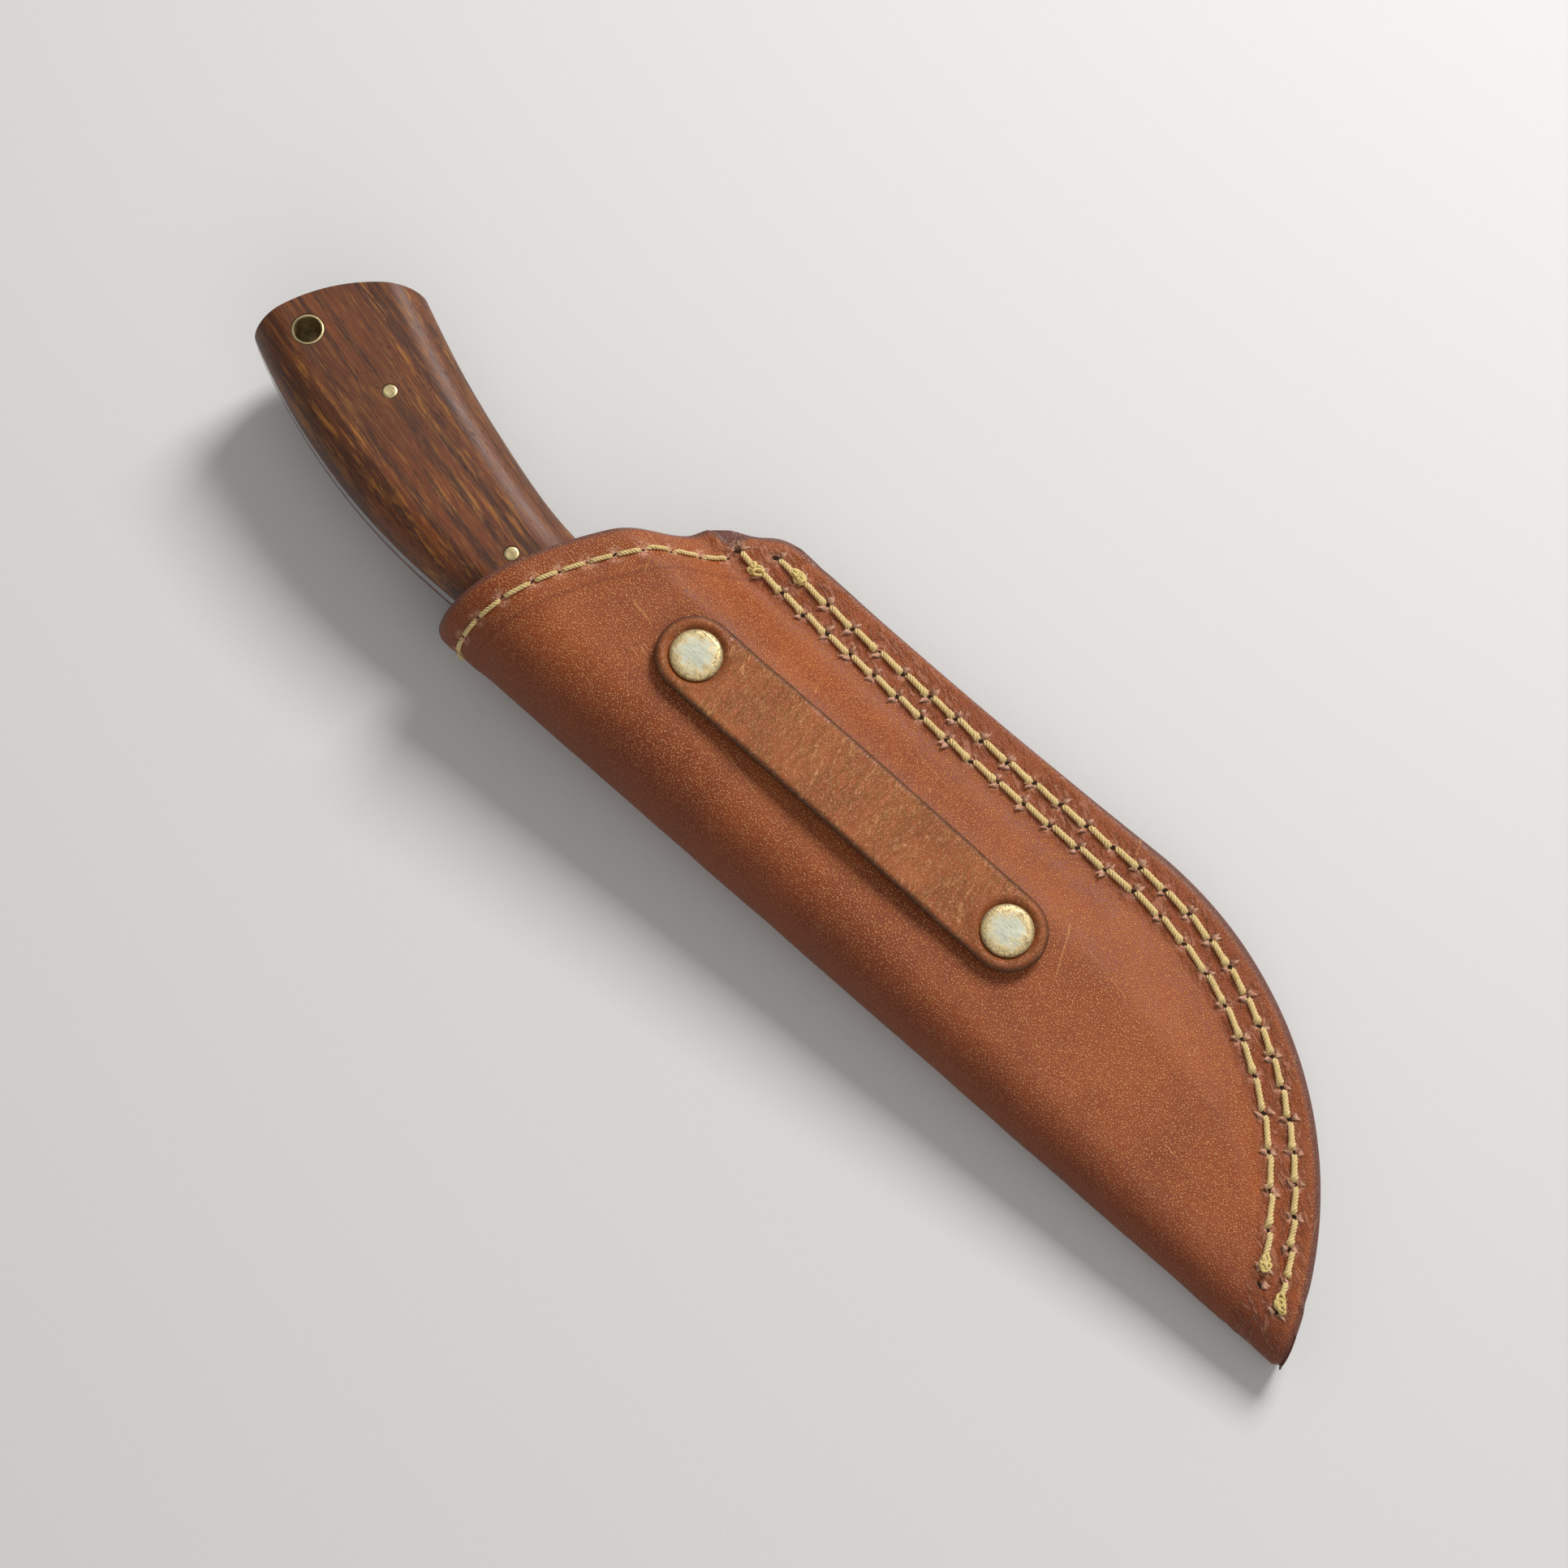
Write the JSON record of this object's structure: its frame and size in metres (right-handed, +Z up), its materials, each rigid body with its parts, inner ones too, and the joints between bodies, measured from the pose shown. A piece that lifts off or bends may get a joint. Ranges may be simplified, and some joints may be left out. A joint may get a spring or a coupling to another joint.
{
  "type": "sheathed whittling knife",
  "caption": "Fixed-blade knife with riveted wooden handle scales and a lanyard hole, held in a folded and stitched leather pouch sheath with a riveted belt strap.",
  "frame": {"origin": "on the sheath's flat underside, below the middle of the belt strap", "axes": "+X from the sheath's tip towards the butt of the handle, +Y from the stitched edge towards the fold, +Z up out of the face that carries the belt strap"},
  "size_m": [0.2231, 0.0474, 0.026],
  "materials": {
    "sheath_leather": "reddish-brown vegetable-tanned grain leather with a fine pebble",
    "strap_leather": "smoother tan leather, lightly creased, burnished edges",
    "welt_leather": "raw leather strip, burnished at the cut edge",
    "lining_leather": "thin split leather",
    "thread": "twisted cream thread",
    "wood": "oiled reddish-brown hardwood",
    "brass": "satin brass, worn",
    "rivet_metal": "worn brass plating over grey metal",
    "steel": "satin-ground blade steel"
  },
  "bodies": {
    "sheath": {"sheath_body": "sheath_leather", "welt": "welt_leather", "mouth_lining": "lining_leather", "belt_strap": "strap_leather", "upper_rivet_cap": "rivet_metal", "lower_rivet_cap": "rivet_metal", "upper_rivet_post": "brass", "lower_rivet_post": "brass", "inner_row_face_thread": "thread", "inner_row_back_thread": "thread", "outer_row_face_thread": "thread", "outer_row_back_thread": "thread", "mouth_row_thread": "thread"},
    "knife": {"blade": "steel", "top_handle_scale": "wood", "bottom_handle_scale": "wood", "lanyard_tube": "brass", "rear_pin": "brass", "middle_pin": "brass", "front_pin": "brass"}
  },
  "joints": [
    {"name": "knife_draw", "type": "slide", "parent": "sheath", "child": "knife", "axis": [0.9987, 0, 0.0516], "range_m": [0, 0.155]}
  ]
}
